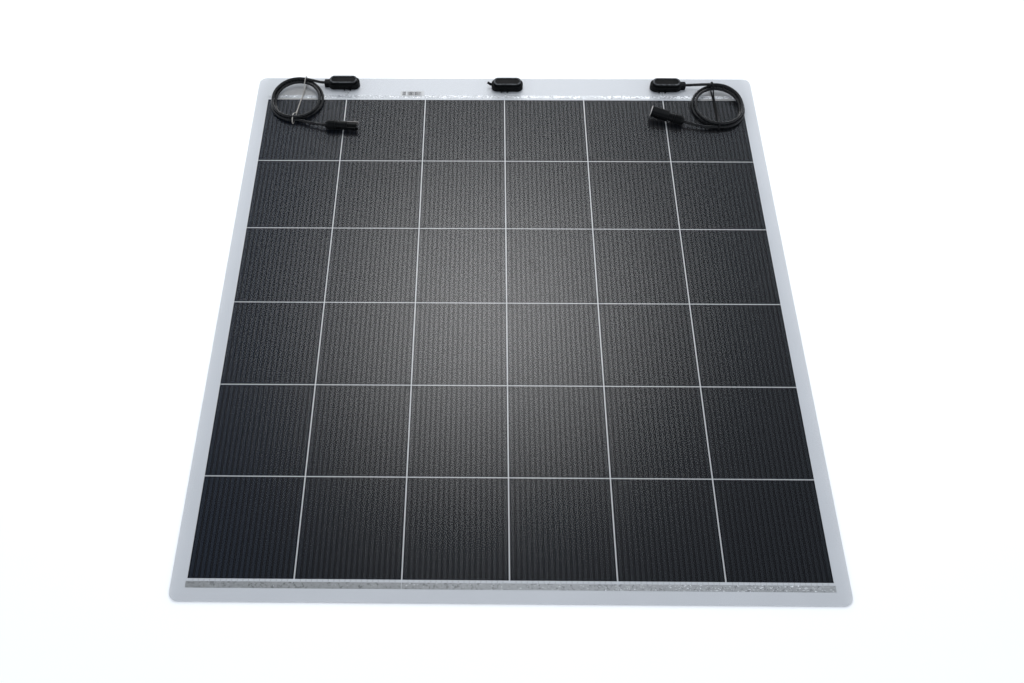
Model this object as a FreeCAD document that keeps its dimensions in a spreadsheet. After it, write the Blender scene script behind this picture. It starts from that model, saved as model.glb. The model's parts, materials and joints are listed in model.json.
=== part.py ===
import FreeCAD, Part
import math
import os
import re

from FreeCAD import Placement, Rotation, Vector

# A semi-flexible solar sheet: six rows of six square cells laminated between a clear front
# film and a stiff white back sheet, with three small junction boxes along its far edge and
# a coiled lead with a connector at each end.
# Millimetres. +Z is up, +Y runs to the edge with the boxes, and the origin is under the
# middle of the sheet. The laminate is divided into six strips, one for each row of cells,
# which hinge on the five lines between the rows.

# ------------------------------------------------------------------ driving dimensions
SHEET = {
    "sheet_width": 1056.0, "sheet_length": 1103.0, "corner_radius": 15.0,
    "field_y": -13.5, "rows": 6, "columns": 6, "strip_gap": 0.3,
    "back_thick": 1.4, "bond_thick": 0.8, "film_thick": 0.3,
    "cut_past": 1.0,  # how far a cut runs on past the face that it leaves by
    "join": 1.0,  # how far a shape reaches into the one that it's added to
}
CELLS = {
    "cell_pitch": 168.0, "cell_width": 165.6, "cell_length": 166.1, "cell_thick": 0.2,
    "wires_per_cell": 18, "wire_pitch": 8.69, "wire_width": 0.8, "wire_thick": 0.1,
    "wire_inset": 1.0,
}
RIBBONS = {
    "ribbon_thick": 0.2, "top_bus_low": 494.7, "top_bus_width": 7.5,
    "low_bus_low": -530.9, "low_bus_width": 10.0, "bus_reach": 504.5, "bus_break": 1.0,
    "riser_width": 3.2, "riser_gap": 1.0, "slot_width": 8.4, "slot_depth": 1.2,
    "label_x": -196.5, "label_y": 507.0, "label_width": 50.0, "label_depth": 14.0,
    "label_thick": 0.1,
}
BOXES = {
    "glue_thick": 0.6, "glue_inset": 2.0, "box_length": 67.0, "box_depth": 27.0, "box_corner": 12.4,
    "box_top": 12.0, "box_floor": 2.4, "box_edge": 2.0,
    "well_length": 54.0, "well_depth": 18.0, "well_corner": 8.5,
    "rib_count": 9, "rib_pitch": 4.3, "rib_width": 1.6, "rib_proud": 0.7,
    "rib_low": 3.6, "rib_high": 9.4,
    "nub_pitch": 12.9, "nub_width": 3.0, "nub_proud": 3.2, "nub_height": 4.0,
    "collar_length": 8.0, "collar_width": 14.0, "collar_top": 11.6, "collar_edge": 1.6,
    "collar_join": 4.0, "port_join": 3.0, "port_height": 7.5, "port_radius": 3.3,
    "bush_radius": 4.4, "bush_bore": 3.1,
    "lid_length": 58.0, "lid_depth": 22.0, "lid_corner": 10.0, "lid_top": 18.0,
    "lid_edge": 1.6, "panel_length": 51.0, "panel_depth": 15.0, "panel_corner": 6.5,
    "panel_sink": 0.9, "lip_fit": 0.3, "lip_low": 9.8, "lid_wall": 1.4, "lid_roof": 1.3,
    "rail_thick": 0.8, "rail_reach": 22.0, "rail_half": 5.4,
    "diode_radius": 2.6, "diode_half": 4.5, "diode_height": 5.9, "tail_radius": 0.5,
    "tail_reach": 8.0, "foot_radius": 0.7, "potting_top": 8.8,
    "plug_radius": 3.1, "plug_depth": 5.0, "stub_radius": 2.6, "stub_length": 10.0,
    "stub_join": 0.5, "stub_edge": 0.5,
}
LEADS = {
    "cable_radius": 3.0, "coil_low": 3.2, "coil_high": 16.0, "coil_outer": 59.0,
    "coil_inner": 42.0, "coil_edge": 4.0, "tie_width": 2.6, "tie_thick": 0.6,
    "tie_slack": 0.8, "tie_head": 5.0,
}
CONNECTORS = {
    "nut_length": 21.0, "nut_dome": 6.0, "nut_radius": 9.6, "nut_neck": 6.8,
    "nut_wall": 4.5, "nut_bore": 3.35, "nut_inner": 7.3, "flutes": 12, "flute_radius": 1.5,
    "flute_centre": 10.4, "nut_edge": 0.8,
    "seal_low": 4.7, "seal_high": 7.9, "seal_radius": 6.9,
    "spigot_low": 8.0, "spigot_radius": 7.0, "flange_low": 21.4, "flange_high": 25.4,
    "flange_radius": 9.4, "flange_edge": 0.6, "core_bore": 3.0,
    "barrel_radius": 8.2, "barrel_high": 45.0, "barrel_edge": 1.0,
    "nose_radius": 4.5, "nose_high": 64.0, "nose_edge": 0.6,
    "pocket_low": 34.0, "pocket_half": 3.8, "pocket_floor": 5.8,
    "latch_low": 34.3, "latch_high": 68.0, "latch_half": 3.4, "latch_in": 6.8,
    "latch_out": 8.9, "latch_edge": 0.8, "barb_low": 58.0, "barb_high": 62.0, "barb_out": 10.2,
    "contact_low": 9.0, "contact_high": 63.0, "contact_radius": 2.8, "contact_bore": 2.05,
    "contact_mouth": 44.0,
    "neck_radius": 8.4, "sleeve_low": 34.0, "sleeve_high": 71.0, "sleeve_side": 10.5,
    "sleeve_rise": 8.8, "sleeve_corner": 6.0, "sleeve_edge": 0.9,
    "cavity_low": 46.0, "cavity_radius": 6.4,
    "channel_side": 9.2, "channel_rise": 3.7, "window_low": 53.0, "window_high": 60.0,
    "pin_radius": 2.0, "pin_shoulder": 46.5, "pin_high": 66.0, "pin_edge": 0.9,
}
SIZES = {**SHEET, **CELLS, **RIBBONS, **BOXES, **LEADS, **CONNECTORS}
SHEET_TOP = SIZES["back_thick"] + SIZES["bond_thick"] + SIZES["film_thick"]
CLOSE = 1e-4  # two places nearer than this are the same

# Each box: its middle, the side that its cable port is on, and the line between two
# columns of cells where its ribbons come up.
BOX_PLACES = {
    "left": {"middle": Vector(-343.6, 530.2, SHEET_TOP), "side": -1, "line": -336.0},
    "middle": {"middle": Vector(5.9, 525.4, SHEET_TOP), "side": -1, "line": 0.0},
    "right": {"middle": Vector(344.4, 525.4, SHEET_TOP), "side": 1, "line": 336.0},
}
BLIND_PLUG_WAY = Vector(-0.87, 0.34, 0.35)  # the way that the unused port's plug bends
COIL_MIDDLES = {"left": Vector(-439.0, 478.0, 0.0), "right": Vector(448.0, 462.5, 0.0)}
TIE_TURNS = {"left": 84.0, "right": 92.0}  # each tie's turn about +Z, in degrees

# Each connector: the middle of its cable end, its turn about +Z and its tilt upwards.
SOCKET_BACK, SOCKET_TURN, SOCKET_TILT = Vector(-371.5, 409.0, 12.5), -2.4, 0.0
PLUG_BACK, PLUG_TURN, PLUG_TILT = Vector(370.5, 421.0, 12.5), 162.0, 5.8

# The cable's routes from each box into its coil, and from the coil into the connector.
LEFT_RUN_IN = [(-374.5, 530.2, 10.0), (-391.0, 530.2, 10.0), (-409.0, 531.0, 11.0),
               (-426.5, 530.2, 12.6)]
RIGHT_RUN_IN = [(375.6, 525.4, 10.0), (391.8, 525.4, 10.0), (409.5, 523.4, 11.2),
                (426.0, 518.0, 12.8), (440.0, 511.5, 13.2)]
LEFT_RUN_OUT = [(-429.5, 424.9, 9.2), (-416.0, 420.2, 9.5), (-402.0, 415.6, 10.3),
                (-391.0, 412.3, 11.2)]
RIGHT_RUN_OUT = [(436.0, 409.5, 9.2), (421.5, 408.9, 9.2), (406.5, 410.6, 9.7),
                 (391.5, 414.3, 10.7)]
ENTRY_BEFORE, ENTRY_AFTER = 6.0, 7.5  # the cable's last two points, along the connector


# ------------------------------------------------------------------ helpers
def formula(text):
    """The text with every dimension's name written as the sheet's cell."""
    def as_cell(match):
        return f"Sizes.{match.group()}" if match.group() in SIZES else match.group()
    return re.sub(r"[a-z_]\w*", as_cell, text)


def bind(thing, **sizes):
    """Ties properties of an object to formulas in the driving dimensions."""
    for name, text in sizes.items():
        thing.setExpression(name.replace("__", "."), formula(text))


def write_sizes(doc):
    """Writes the driving dimensions in the spreadsheet, one row each."""
    sheet = doc.addObject("Spreadsheet::Sheet", "Sizes")
    for row, (name, value) in enumerate(SIZES.items(), start=1):
        sheet.set(f"A{row}", name)
        sheet.set(f"B{row}", str(value))
        sheet.setAlias(f"B{row}", name)
    doc.recompute()


def new_body(name, place=None, many=False):
    """A part-design body, which may hold several separate solids."""
    body = FreeCAD.ActiveDocument.addObject("PartDesign::Body", name)
    body.Label = name
    body.AllowCompound = many
    body.Placement = place or Placement()
    return body


def origin_axis(body, role):
    """One of the body's own axes, such as X_Axis."""
    return next(f for f in body.Origin.OriginFeatures if f.Role == role)


def block(body, low, high, cut=False):
    """Adds or cuts a box between two corners, given as formulas."""
    box = body.newObject("PartDesign::" + ("SubtractiveBox" if cut else "AdditiveBox"), "Block")
    for axis, side, a, b in zip("xyz", ("Length", "Width", "Height"), low, high):
        bind(box, **{f"Placement__Base__{axis}": a, side: f"({b}) - ({a})"})
    return box


def centred(body, length, depth, low, high, cut=False):
    """Adds or cuts a box centred on the body's Z axis."""
    start = (f"-({length}) / 2", f"-({depth}) / 2", low)
    end = (f"({length}) / 2", f"({depth}) / 2", high)
    return block(body, start, end, cut)


def rod(body, radius, low, high, cut=False, at=("0", "0"), along="z"):
    """Adds or cuts a cylinder along an axis, from low to high, at the other two coordinates."""
    kind = "PartDesign::" + ("SubtractiveCylinder" if cut else "AdditiveCylinder")
    cylinder = body.newObject(kind, "Rod")
    turns = {"x": Rotation(Vector(0, 1, 0), 90), "z": Rotation()}
    cylinder.Placement = Placement(Vector(), turns[along])
    base = (low, *at) if along == "x" else (*at, low)
    bind(cylinder, Radius=radius, Height=f"({high}) - ({low})")
    bind(cylinder, **{f"Placement__Base__{axis}": text for axis, text in zip("xyz", base)})
    return cylinder


def cone(body, radius_low, radius_high, low, high):
    """Adds a cone along Z."""
    shape = body.newObject("PartDesign::AdditiveCone", "Cone")
    bind(shape, Radius1=radius_low, Radius2=radius_high, Height=f"({high}) - ({low})",
         Placement__Base__z=low)
    return shape


def fillet(body, radius, chosen):
    """Rounds the edges of the body's last feature that the test chooses."""
    FreeCAD.ActiveDocument.recompute()
    last = body.Tip
    names = [f"Edge{i}" for i, edge in enumerate(last.Shape.Edges, start=1) if chosen(edge)]
    rounding = body.newObject("PartDesign::Fillet", "Rounding")
    rounding.Base = (last, names)
    bind(rounding, Radius=radius)
    return rounding


def row_of(body, feature, count, step, role="X_Axis"):
    """Repeats a feature along one of the body's axes."""
    pattern = body.newObject("PartDesign::LinearPattern", "Row")
    pattern.Originals = [feature]
    pattern.Direction = (origin_axis(body, role), [""])
    bind(pattern, Length=f"({count} - 1) * {step}", Occurrences=count)
    body.Tip = pattern
    return pattern


def grid_of(body, feature, *rows):
    """Repeats a feature in rows of rows along X, each a count and a step."""
    grid = body.newObject("PartDesign::MultiTransform", "Grid")
    grid.Originals = [feature]
    steps = []
    for count, step in rows:
        pattern = body.newObject("PartDesign::LinearPattern", "Step")
        pattern.Direction = (origin_axis(body, "X_Axis"), [""])
        bind(pattern, Length=f"({count} - 1) * {step}", Occurrences=count)
        steps.append(pattern)
    grid.Transformations = steps
    body.Tip = grid
    return grid


def ring_of(body, feature, count):
    """Repeats a feature round the body's Z axis."""
    pattern = body.newObject("PartDesign::PolarPattern", "Ring")
    pattern.Originals = [feature]
    pattern.Axis = (origin_axis(body, "Z_Axis"), [""])
    pattern.Angle = 360
    bind(pattern, Occurrences=count)
    body.Tip = pattern
    return pattern


def is_upright(edge):
    """True for a straight edge along Z."""
    box = edge.BoundBox
    return max(box.XLength, box.YLength) < CLOSE < box.ZLength


def lies_at(edge, *names):
    """True for an edge that lies wholly at one of the named heights of the body's own frame."""
    box = edge.BoundBox
    return any(max(abs(box.ZMin - SIZES[name]), abs(box.ZMax - SIZES[name])) < CLOSE for name in names)


def grouped(name, members):
    """One node holding several pieces that stay separate solids."""
    group = FreeCAD.ActiveDocument.addObject("Part::Compound", name)
    group.Label = name
    group.Links = members
    return group


# ------------------------------------------------------------------ laminate
WIRE_GRID = (("wires_per_cell", "wire_pitch"), ("columns", "cell_pitch"))
BOND_TOP = "back_thick + bond_thick"


def strip_edges(row):
    """Formulas for a strip's near and far edges; row 1 has the boxes."""
    near = f"field_y + ({3 - row}) * cell_pitch + strip_gap / 2"
    far = f"field_y + ({4 - row}) * cell_pitch - strip_gap / 2"
    if row == 1:
        far = "sheet_length / 2"
    if row == SIZES["rows"]:
        near = "-sheet_length / 2"
    return near, far


def layer(row, name, low, high):
    """One layer of one strip, with the sheet's round corners on the outer two strips."""
    body = new_body(f"{name}_{row}")
    near, far = strip_edges(row)
    block(body, ("-sheet_width / 2", near, low), ("sheet_width / 2", far, high))
    if row in (1, SIZES["rows"]):
        outer = SIZES["sheet_length"] / 2 * (1 if row == 1 else -1)
        fillet(body, "corner_radius",
               lambda edge: is_upright(edge) and abs(edge.CenterOfMass.y - outer) < CLOSE)
    return body


def cell_block(body, row, cut=False):
    """The first cell of a row, or its pocket."""
    middle = f"(field_y + {3.5 - row} * cell_pitch)"
    low = ("-2.5 * cell_pitch - cell_width / 2", f"{middle} - cell_length / 2", "back_thick")
    high = ("-2.5 * cell_pitch + cell_width / 2", f"{middle} + cell_length / 2",
            "back_thick + cell_thick")
    return block(body, low, high, cut)


def wire_block(body, row, cut=False):
    """The first wire of a row's first cell, or its groove."""
    middle = f"(field_y + {3.5 - row} * cell_pitch)"
    centre = "(-2.5 * cell_pitch - (wires_per_cell - 1) * wire_pitch / 2)"
    half = "(cell_length / 2 - wire_inset)"
    low = (f"{centre} - wire_width / 2", f"{middle} - {half}", "back_thick + cell_thick")
    high = (f"{centre} + wire_width / 2", f"{middle} + {half}",
            "back_thick + cell_thick + wire_thick")
    return block(body, low, high, cut)


def make_cells(row):
    """The six cells of a row."""
    body = new_body(f"cells_{row}", many=True)
    row_of(body, cell_block(body, row), "columns", "cell_pitch")
    return body


def make_wires(row):
    """The thin wires soldered along the front of a row's cells."""
    body = new_body(f"cell_wires_{row}", many=True)
    grid_of(body, wire_block(body, row), *WIRE_GRID)
    return body


def bus_spans():
    """Formulas for the ends of the top and the low bus ribbons, from left to right."""
    top_lines = ["-2 * cell_pitch", "0", "2 * cell_pitch"]
    low_lines = ["-cell_pitch", "cell_pitch"]
    spans = {}
    for name, lines in (("top", top_lines), ("low", low_lines)):
        starts = ["-bus_reach"] + [f"{line} + bus_break / 2" for line in lines]
        ends = [f"{line} - bus_break / 2" for line in lines] + ["bus_reach"]
        spans[name] = list(zip(starts, ends))
    return spans


def bus_blocks(body, name, cut=False):
    """The ribbons across the ends of the columns, or their grooves."""
    for start, end in bus_spans()[name]:
        block(body, (start, f"{name}_bus_low", "back_thick"),
              (end, f"{name}_bus_low + {name}_bus_width", "back_thick + ribbon_thick"), cut)


def riser_spans(line):
    """Formulas for the two risers beside a line between columns."""
    inner = "(riser_gap / 2)"
    outer = "(riser_gap / 2 + riser_width)"
    return [(f"{line} - {outer}", f"{line} - {inner}"), (f"{line} + {inner}", f"{line} + {outer}")]


def leg_face(place):
    """Where a box's risers stand, in the row frame."""
    return f"({place['middle'].y} - rail_half)"


def riser_feet(body, cut=False):
    """The risers' flat runs from the bus to under each box, or their grooves."""
    for place in BOX_PLACES.values():
        for start, end in riser_spans(place["line"]):
            block(body, (start, "top_bus_low + top_bus_width", "back_thick"),
                  (end, leg_face(place), "back_thick + ribbon_thick"), cut)


def make_top_ribbons():
    """The far bus ribbons, with the risers that carry the current up into the boxes."""
    body = new_body("top_bus_ribbons", many=True)
    bus_blocks(body, "top")
    riser_feet(body)
    for place in BOX_PLACES.values():
        for start, end in riser_spans(place["line"]):
            face = leg_face(place)
            block(body, (start, f"{face} - ribbon_thick", "back_thick"),
                  (end, face, f"{SHEET_TOP} + box_floor + rail_thick"))
    return body


def make_low_ribbons():
    """The near bus ribbons, which join the columns in pairs."""
    body = new_body("low_bus_ribbons", many=True)
    bus_blocks(body, "low")
    return body


def cut_riser_slots(body, low, high):
    """Slots that let the risers through a layer."""
    for place in BOX_PLACES.values():
        face = leg_face(place)
        near = f"{face} - ribbon_thick - slot_depth / 2"
        block(body, (f"{place['line']} - slot_width / 2", near, low),
              (f"{place['line']} + slot_width / 2", f"{face} + slot_depth / 2", high), cut=True)


def label_corners(low, high):
    """The two corners of the label, or of its pocket."""
    near = ("label_x - label_width / 2", "label_y - label_depth / 2", low)
    far = ("label_x + label_width / 2", "label_y + label_depth / 2", high)
    return near, far


def make_encapsulant(row):
    """The clear layer that flows round the cells, with their pockets open below."""
    body = layer(row, "encapsulant", "back_thick", BOND_TOP)
    row_of(body, cell_block(body, row, cut=True), "columns", "cell_pitch")
    grid_of(body, wire_block(body, row, cut=True), *WIRE_GRID)
    if row == 1:
        bus_blocks(body, "top", cut=True)
        riser_feet(body, cut=True)
        cut_riser_slots(body, "back_thick", BOND_TOP)
        block(body, *label_corners(f"{BOND_TOP} - label_thick", BOND_TOP), cut=True)
    if row == SIZES["rows"]:
        bus_blocks(body, "low", cut=True)
    return body


def make_front_film(row):
    """The clear front film."""
    body = layer(row, "front_film", BOND_TOP, f"{BOND_TOP} + film_thick")
    if row == 1:
        cut_riser_slots(body, BOND_TOP, f"{BOND_TOP} + film_thick")
    return body


def make_label():
    """The small printed label under the front film."""
    body = new_body("serial_label")
    block(body, *label_corners(f"{BOND_TOP} - label_thick", BOND_TOP))
    return body


def make_laminate():
    """Every layer of every strip, and the ribbons and label inside them."""
    nodes = []
    for row in range(1, int(SIZES["rows"]) + 1):
        nodes += [layer(row, "back_sheet", "0", "back_thick"), make_encapsulant(row),
                  make_front_film(row), make_cells(row), make_wires(row)]
    return nodes + [make_top_ribbons(), make_low_ribbons(), make_label()]


# ------------------------------------------------------------------ junction boxes
def riser_shift(place):
    """How far along the box its risers are from its middle."""
    return place["line"] - place["middle"].x


def cut_box_slot(body, place, low, high):
    """The slot under the risers, in the box's own frame."""
    shift = riser_shift(place)
    block(body, (f"{shift} - slot_width / 2", "-rail_half - ribbon_thick - slot_depth / 2", low),
          (f"{shift} + slot_width / 2", "-rail_half + slot_depth / 2", high), cut=True)


def make_glue(name, place):
    """The bead of silicone under a box."""
    body = new_body(f"{name}_box_glue", Placement(place["middle"], Rotation()))
    centred(body, "box_length - 2 * glue_inset", "box_depth - 2 * glue_inset", "0", "glue_thick")
    fillet(body, "box_corner - glue_inset", is_upright)
    cut_box_slot(body, place, "0", "glue_thick")
    return body


def is_on_collar(edge, side):
    """True for an edge of the collar, past the box's end and above its foot."""
    past_end = edge.BoundBox.Center.x * side > SIZES["box_length"] / 2 + CLOSE
    return past_end and edge.BoundBox.ZMax > SIZES["glue_thick"] + CLOSE


def add_cable_collar(body, side):
    """The block at the box's end that the cable leaves through, with the bush's seat."""
    wall, end = "box_length / 2", "box_length / 2 + collar_length"
    start, stop = (f"{wall} - collar_join", end) if side > 0 else (f"-({end})", f"collar_join - {wall}")
    block(body, (start, "-collar_width / 2", "glue_thick"), (stop, "collar_width / 2", "collar_top"))
    fillet(body, "collar_edge", lambda edge: is_on_collar(edge, side))
    seat = (wall, end) if side > 0 else (f"-({end})", f"-{wall}")
    rod(body, "bush_radius", *seat, cut=True, at=("0", "port_height"), along="x")


def cut_port(body, side):
    """The hole from the box's well out through its end wall."""
    inner, outer = "well_length / 2 - port_join", "box_length / 2 + cut_past"
    span = (inner, outer) if side > 0 else (f"-({outer})", f"-({inner})")
    rod(body, "port_radius", *span, cut=True, at=("0", "port_height"), along="x")


def add_front_ribs(body):
    """Short upright ribs along the box's front wall."""
    start = "-(rib_count - 1) * rib_pitch / 2 - rib_width / 2"
    rib = block(body, (start, "-box_depth / 2 - rib_proud", "rib_low"),
                (f"{start} + rib_width", "-box_depth / 2 + join", "rib_high"))
    row_of(body, rib, "rib_count", "rib_pitch")


def add_nubs(body, shift):
    """The two feet on each side of the risers."""
    start = f"{shift} - nub_pitch / 2 - nub_width / 2"
    nub = block(body, (start, "-box_depth / 2 - nub_proud", "glue_thick"),
                (f"{start} + nub_width", "-box_depth / 2 + join", "glue_thick + nub_height"))
    row_of(body, nub, "2", "nub_pitch")


def is_well_corner(edge):
    """True for the four upright edges of the well."""
    middle = edge.BoundBox.Center
    return (is_upright(edge) and abs(abs(middle.x) - SIZES["well_length"] / 2) < CLOSE
            and abs(abs(middle.y) - SIZES["well_depth"] / 2) < CLOSE)


def make_box_base(name, place):
    """A junction box's tub."""
    body = new_body(f"{name}_box_base", Placement(place["middle"], Rotation()))
    centred(body, "box_length", "box_depth", "glue_thick", "box_top")
    fillet(body, "box_corner", is_upright)
    fillet(body, "box_edge", lambda edge: lies_at(edge, "box_top"))
    add_front_ribs(body)
    add_nubs(body, riser_shift(place))
    if name != "middle":
        add_cable_collar(body, place["side"])
    centred(body, "well_length", "well_depth", "box_floor", "box_top + cut_past", cut=True)
    fillet(body, "well_corner", is_well_corner)
    cut_port(body, place["side"])
    cut_box_slot(body, place, "glue_thick", "box_floor")
    return body


def is_on_rim(edge):
    """True for an edge on the outside of a lid's cap, and not round its sunk panel or its lip."""
    middle = edge.BoundBox.Center
    outside = (abs(middle.x) > SIZES["lid_length"] / 2 - SIZES["lid_edge"] * 2
               or abs(middle.y) > SIZES["lid_depth"] / 2 - SIZES["lid_edge"])
    return outside and edge.BoundBox.ZMax > SIZES["box_top"] + CLOSE


def make_box_lid(name, place):
    """A junction box's cap: a rim round a sunk panel, with a lip that fits the well."""
    body = new_body(f"{name}_box_lid", Placement(place["middle"], Rotation()))
    lip_length, lip_depth = "(well_length - 2 * lip_fit)", "(well_depth - 2 * lip_fit)"
    sunk = "lid_top - panel_sink"
    centred(body, lip_length, lip_depth, "lip_low", "box_top")
    fillet(body, "well_corner - lip_fit", is_upright)
    centred(body, "lid_length", "lid_depth", "box_top", "lid_top")
    centred(body, "panel_length", "panel_depth", sunk, "lid_top + cut_past", cut=True)
    fillet(body, "panel_corner", lambda edge: is_upright(edge) and not is_on_rim(edge)
           and edge.BoundBox.ZMin > SIZES["box_top"])
    fillet(body, "lid_corner", lambda edge: is_upright(edge) and is_on_rim(edge))
    fillet(body, "lid_edge", lambda edge: lies_at(edge, "lid_top") and is_on_rim(edge))
    centred(body, f"{lip_length} - 2 * lid_wall", f"{lip_depth} - 2 * lid_wall",
            "lip_low", f"{sunk} - lid_roof", cut=True)
    return body


def make_rails(name, place):
    """The two copper strips on the box's floor, one for each riser."""
    body = new_body(f"{name}_rails", Placement(place["middle"], Rotation()), many=True)
    shift = riser_shift(place)
    spans = (("-rail_reach", f"{shift} - riser_gap / 2"), (f"{shift} + riser_gap / 2", "rail_reach"))
    for start, end in spans:
        block(body, (start, "-rail_half", "box_floor"), (end, "rail_half", "box_floor + rail_thick"))
    return body


def make_diode(name, place):
    """The bypass diode, with its tails bent down to the two rails."""
    middle = place["middle"] + Vector(riser_shift(place), 0, 0)
    body = new_body(f"{name}_diode", Placement(middle, Rotation()))
    rod(body, "diode_radius", "-diode_half", "diode_half", at=("0", "diode_height"), along="x")
    rod(body, "tail_radius", "-tail_reach", "tail_reach", at=("0", "diode_height"), along="x")
    for side in "-", "":
        rod(body, "foot_radius", "box_floor + rail_thick", "diode_height + foot_radius",
            at=(f"{side}tail_reach", "0"))
    return body


def make_potting(name, place, buried):
    """The silicone poured round the rails, the risers and the diode."""
    body = new_body(f"{name}_potting_blank", Placement(place["middle"], Rotation()))
    centred(body, "well_length", "well_depth", "box_floor", "potting_top")
    fillet(body, "well_corner", is_upright)
    potting = FreeCAD.ActiveDocument.addObject("Part::Cut", f"{name}_potting")
    potting.Base = body
    potting.Tool = grouped(f"{name}_buried", buried)
    return potting


def make_bush(name, place):
    """The rubber bush round the cable, in the box's collar."""
    body = new_body(f"{name}_bush", Placement(place["middle"], Rotation()))
    wall, end = "box_length / 2", "box_length / 2 + collar_length"
    span = (wall, end) if place["side"] > 0 else (f"-({end})", f"-{wall}")
    rod(body, "bush_radius", *span, at=("0", "port_height"), along="x")
    rod(body, "bush_bore", *span, cut=True, at=("0", "port_height"), along="x")
    return body


def make_blind_plug(place):
    """The rubber plug in the middle box's unused port, with its bent tail."""
    end = Vector(place["side"] * SIZES["box_length"] / 2, 0, SIZES["port_height"])
    turn = Rotation(Vector(0, 0, 1), BLIND_PLUG_WAY)
    body = new_body("blind_plug", Placement(place["middle"] + end, turn))
    rod(body, "stub_radius", "-stub_join", "stub_length")
    fillet(body, "stub_edge", lambda edge: lies_at(edge, "stub_length"))
    shank = body.newObject("PartDesign::AdditiveCylinder", "Shank")
    inwards = turn.inverted().multVec(Vector(1, 0, 0))
    shank.Placement = Placement(Vector(), Rotation(Vector(0, 0, 1), inwards))
    bind(shank, Radius="plug_radius", Height="plug_depth")
    return body


def make_boxes(ribbons):
    """The three junction boxes with what they hold."""
    singles, glue, potting, rails, diodes, bushes = [], [], [], [], [], []
    for name, place in BOX_PLACES.items():
        singles += [make_box_base(name, place), make_box_lid(name, place)]
        glue.append(make_glue(name, place))
        rails.append(make_rails(name, place))
        diodes.append(make_diode(name, place))
        potting.append(make_potting(name, place, [rails[-1], diodes[-1], ribbons]))
        if name != "middle":
            bushes.append(make_bush(name, place))
    singles.append(make_blind_plug(BOX_PLACES["middle"]))
    groups = [grouped("box_silicone", glue + potting), grouped("terminal_rails", rails),
              grouped("bypass_diodes", diodes)]
    return singles + groups, bushes


# ------------------------------------------------------------------ leads
def along(back, turn, tilt, distance):
    """A point on a connector's axis."""
    level = math.cos(math.radians(tilt))
    direction = Vector(level * math.cos(math.radians(turn)), level * math.sin(math.radians(turn)),
                       math.sin(math.radians(tilt)))
    return back + direction * distance


def cable_wire(name, points):
    """Straight runs joined by tangent arcs, as large as the runs allow."""
    points = [Vector(*p) for p in points]
    edges, radii = [], []
    start = points[0]
    for before, corner, after in zip(points, points[1:], points[2:]):
        back, on = before - corner, after - corner
        reach = 0.45 * min(back.Length, on.Length)
        half_turn = (math.pi - back.getAngle(on)) / 2
        radii.append(reach / math.tan(half_turn))
        back.normalize()
        on.normalize()
        first, last = corner + back * reach, corner + on * reach
        inward = (back + on).normalize()
        middle = corner + inward * (radii[-1] / math.cos(half_turn) - radii[-1])
        edges += [Part.LineSegment(start, first).toShape(), Part.Arc(first, middle, last).toShape()]
        start = last
    edges.append(Part.LineSegment(start, points[-1]).toShape())
    print(name, "bend radii", [round(r) for r in radii])
    return Part.Wire(edges)


def make_cable(name, points):
    """A round cable along a route, checked against its section times its length."""
    radius = SIZES["cable_radius"]
    path = cable_wire(name, points)
    start = path.Edges[0]
    profile = Part.Wire(Part.makeCircle(radius, start.valueAt(start.FirstParameter),
                                        start.tangentAt(start.FirstParameter)))
    solid = path.makePipeShell([profile], True, False)
    expected = math.pi * radius ** 2 * path.Length
    print(name, "length", round(path.Length, 1), "volume share", round(solid.Volume / expected, 4))
    cable = FreeCAD.ActiveDocument.addObject("Part::Feature", name)
    cable.Shape = solid
    return cable


def make_coil(name, middle):
    """The outer shape of a lead's loose coil."""
    body = new_body(f"{name}_lead_coil", Placement(middle, Rotation()))
    rod(body, "coil_outer", "coil_low", "coil_high")
    rod(body, "coil_inner", "coil_low", "coil_high", cut=True)
    fillet(body, "coil_edge", lambda edge: lies_at(edge, "coil_low", "coil_high"))
    return body


def make_tie(name, middle, turn):
    """A thin tie right round the coil, across its hole."""
    body = new_body(f"{name}_tie", Placement(middle, Rotation(Vector(0, 0, 1), turn)))
    reach = "(coil_outer + tie_slack)"
    low, high = str(SHEET_TOP), "coil_high + tie_slack"
    block(body, (f"-{reach} - tie_thick", "-tie_width / 2", low),
          (f"{reach} + tie_thick", "tie_width / 2", f"{high} + tie_thick"))
    block(body, (f"-{reach}", "-tie_width / 2", f"{low} + tie_thick"),
          (reach, "tie_width / 2", high), cut=True)
    if name == "right":
        block(body, ("-tie_head / 2", "-tie_head / 2", high),
              ("tie_head / 2", "tie_head / 2", f"{high} + tie_head / 2"))
    return body


def make_leads():
    """Both leads: the run from the box, the coil and the run to the connector, and the ties."""
    leads = (("left", LEFT_RUN_IN, LEFT_RUN_OUT, (SOCKET_BACK, SOCKET_TURN, SOCKET_TILT)),
             ("right", RIGHT_RUN_IN, RIGHT_RUN_OUT, (PLUG_BACK, PLUG_TURN, PLUG_TILT)))
    nodes = []
    for name, run_in, run_out, end in leads:
        entry = [tuple(along(*end, -ENTRY_BEFORE)), tuple(along(*end, ENTRY_AFTER))]
        nodes += [make_cable(f"{name}_lead_start", run_in), make_coil(name, COIL_MIDDLES[name]),
                  make_cable(f"{name}_lead_end", run_out + entry),
                  make_tie(name, COIL_MIDDLES[name], TIE_TURNS[name])]
    return nodes


# ------------------------------------------------------------------ connectors
def connector_place(back, turn, tilt):
    """A placement with the body's Z along the connector and its X upwards."""
    axis = (along(back, turn, tilt, 1.0) - back).normalize()
    side = axis.cross(Vector(0, 0, 1)).normalize()
    return Placement(back, Rotation(side.cross(axis), side, axis, "ZXY"))


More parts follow.
